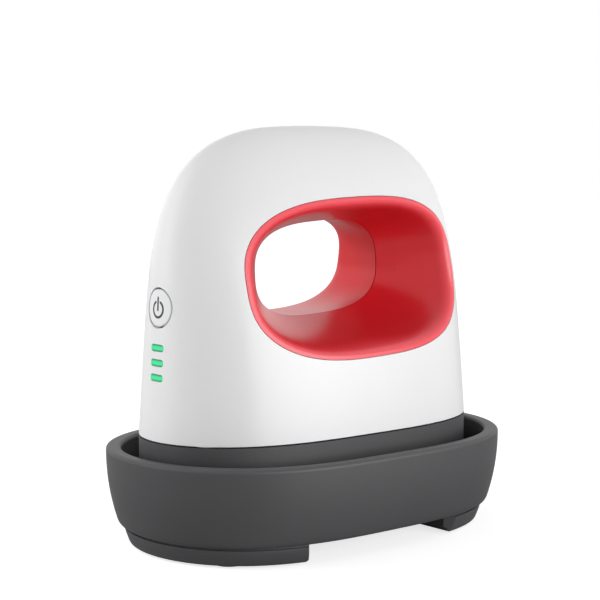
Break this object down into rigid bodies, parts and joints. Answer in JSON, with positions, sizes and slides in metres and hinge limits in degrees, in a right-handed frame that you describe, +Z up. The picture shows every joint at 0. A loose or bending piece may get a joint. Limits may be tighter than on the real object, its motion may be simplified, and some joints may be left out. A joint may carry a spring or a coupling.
{
  "type": "mini handheld heat press",
  "caption": "Small handheld heat press: domed shell with a flared finger tunnel over a heated sole, parked in an oval stand with end plinths.",
  "frame": {"origin": "centre of the stand's footprint, on the surface it stands on", "axes": "+Z up; X along the press, power button at -X, mains inlet at +X; Y across the press, through the finger tunnel"},
  "size_m": [0.135, 0.0894, 0.1273],
  "materials": {
    "shell_white": "moulded ABS, satin gloss",
    "grip_red": "moulded ABS, satin",
    "stand_grey": "moulded, fine matt grain",
    "silicone_black": "moulded silicone rubber",
    "sole_aluminium": "cast, machined sole with a release coat",
    "steel": "drawn and plated steel",
    "mineral_pad": "pressed mineral fibre",
    "phenolic_black": "moulded phenolic",
    "board_green": "lacquered glass-fibre board",
    "component_blue": "moulded housing",
    "component_yellow": "moulded housing",
    "terminal_green": "moulded polyamide",
    "lamp_green": "clear moulded light guide, green",
    "led_white": "moulded epoxy lens",
    "lead_silicone": "silicone-covered wire"
  },
  "bodies": {
    "stand": {"stand_tray": "stand_grey", "rest_pads": "silicone_black", "foot_pads": "silicone_black"},
    "press": {"heat_plate": "sole_aluminium", "heating_element": "steel", "insulation_pad": "mineral_pad", "heat_shield": "steel", "thermostat": "phenolic_black", "thermal_fuse": "steel", "temperature_sensor": "steel", "base_skirt": "stand_grey", "upper_shell": "shell_white", "grip_liner_near": "grip_red", "grip_liner_far": "grip_red", "tact_switch": "phenolic_black", "light_guide": "lamp_green", "status_leds": "led_white", "control_board": "board_green", "power_board": "board_green", "relay": "component_blue", "film_capacitor": "component_yellow", "smoothing_capacitor": "phenolic_black", "board_fuse": "phenolic_black", "terminal_block": "terminal_green", "element_leads": "lead_silicone", "control_lead": "lead_silicone", "cable_gland": "silicone_black", "cord_clamp": "stand_grey", "plate_screws": "steel", "shell_screws": "steel", "power_board_screws": "steel", "control_board_screws": "steel", "clamp_screws": "steel"},
    "button": {"power_button": "shell_white", "switch_plunger": "phenolic_black"}
  },
  "joints": [
    {"name": "press_lift", "type": "slide", "parent": "stand", "child": "press", "axis": [0, 0, 1], "range_m": [0, 0.06]},
    {"name": "button_press", "type": "slide", "parent": "press", "child": "button", "axis": [1, 0, 0], "range_m": [0, 0.0006], "stiffness_N_per_m": 600, "springref_m": -0.0005}
  ]
}
